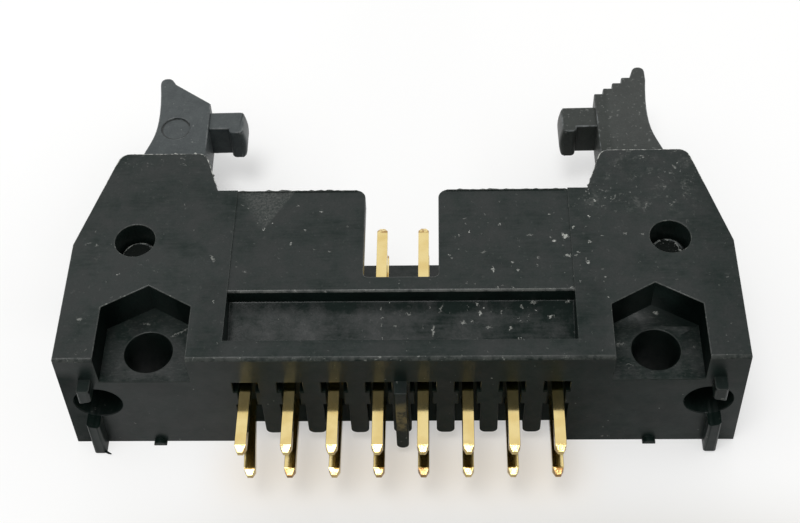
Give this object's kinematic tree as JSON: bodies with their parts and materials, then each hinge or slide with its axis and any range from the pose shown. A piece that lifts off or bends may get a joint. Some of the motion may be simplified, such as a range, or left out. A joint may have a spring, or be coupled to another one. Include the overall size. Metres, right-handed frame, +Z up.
{
  "type": "straight box header with ejector latches",
  "caption": "Shrouded two-row pin header with a key notch and two hinged ejector latches, for a ribbon cable socket on a circuit board.",
  "frame": {"origin": "centre of the part's box in plan, on the lower broad face that it lies on", "axes": "+X along the rows of contacts, +Y in the mating direction away from the board, +Z up from the face it lies on"},
  "size_m": [0.0394, 0.0296, 0.0088],
  "materials": {
    "housing_plastic": "satin moulded black",
    "latch_plastic": "satin moulded black, a little paler",
    "contact_metal": "gold plated, bright"
  },
  "bodies": {
    "header": {"housing": "housing_plastic", "contact_upper_1": "contact_metal", "contact_upper_2": "contact_metal", "contact_upper_3": "contact_metal", "contact_upper_4": "contact_metal", "contact_upper_5": "contact_metal", "contact_upper_6": "contact_metal", "contact_upper_7": "contact_metal", "contact_upper_8": "contact_metal", "contact_lower_1": "contact_metal", "contact_lower_2": "contact_metal", "contact_lower_3": "contact_metal", "contact_lower_4": "contact_metal", "contact_lower_5": "contact_metal", "contact_lower_6": "contact_metal", "contact_lower_7": "contact_metal", "contact_lower_8": "contact_metal"},
    "left_latch": {"latch_left": "latch_plastic"},
    "right_latch": {"latch_right": "latch_plastic"}
  },
  "joints": [
    {"name": "left_latch_hinge", "type": "hinge", "parent": "header", "child": "left_latch", "pos_m": [-0.0158, -0.00208, 0.0044], "axis": [0, 0, 1], "range_deg": [0, 32]},
    {"name": "right_latch_hinge", "type": "hinge", "parent": "header", "child": "right_latch", "pos_m": [0.0158, -0.00208, 0.0044], "axis": [0, 0, -1], "range_deg": [0, 32]}
  ]
}
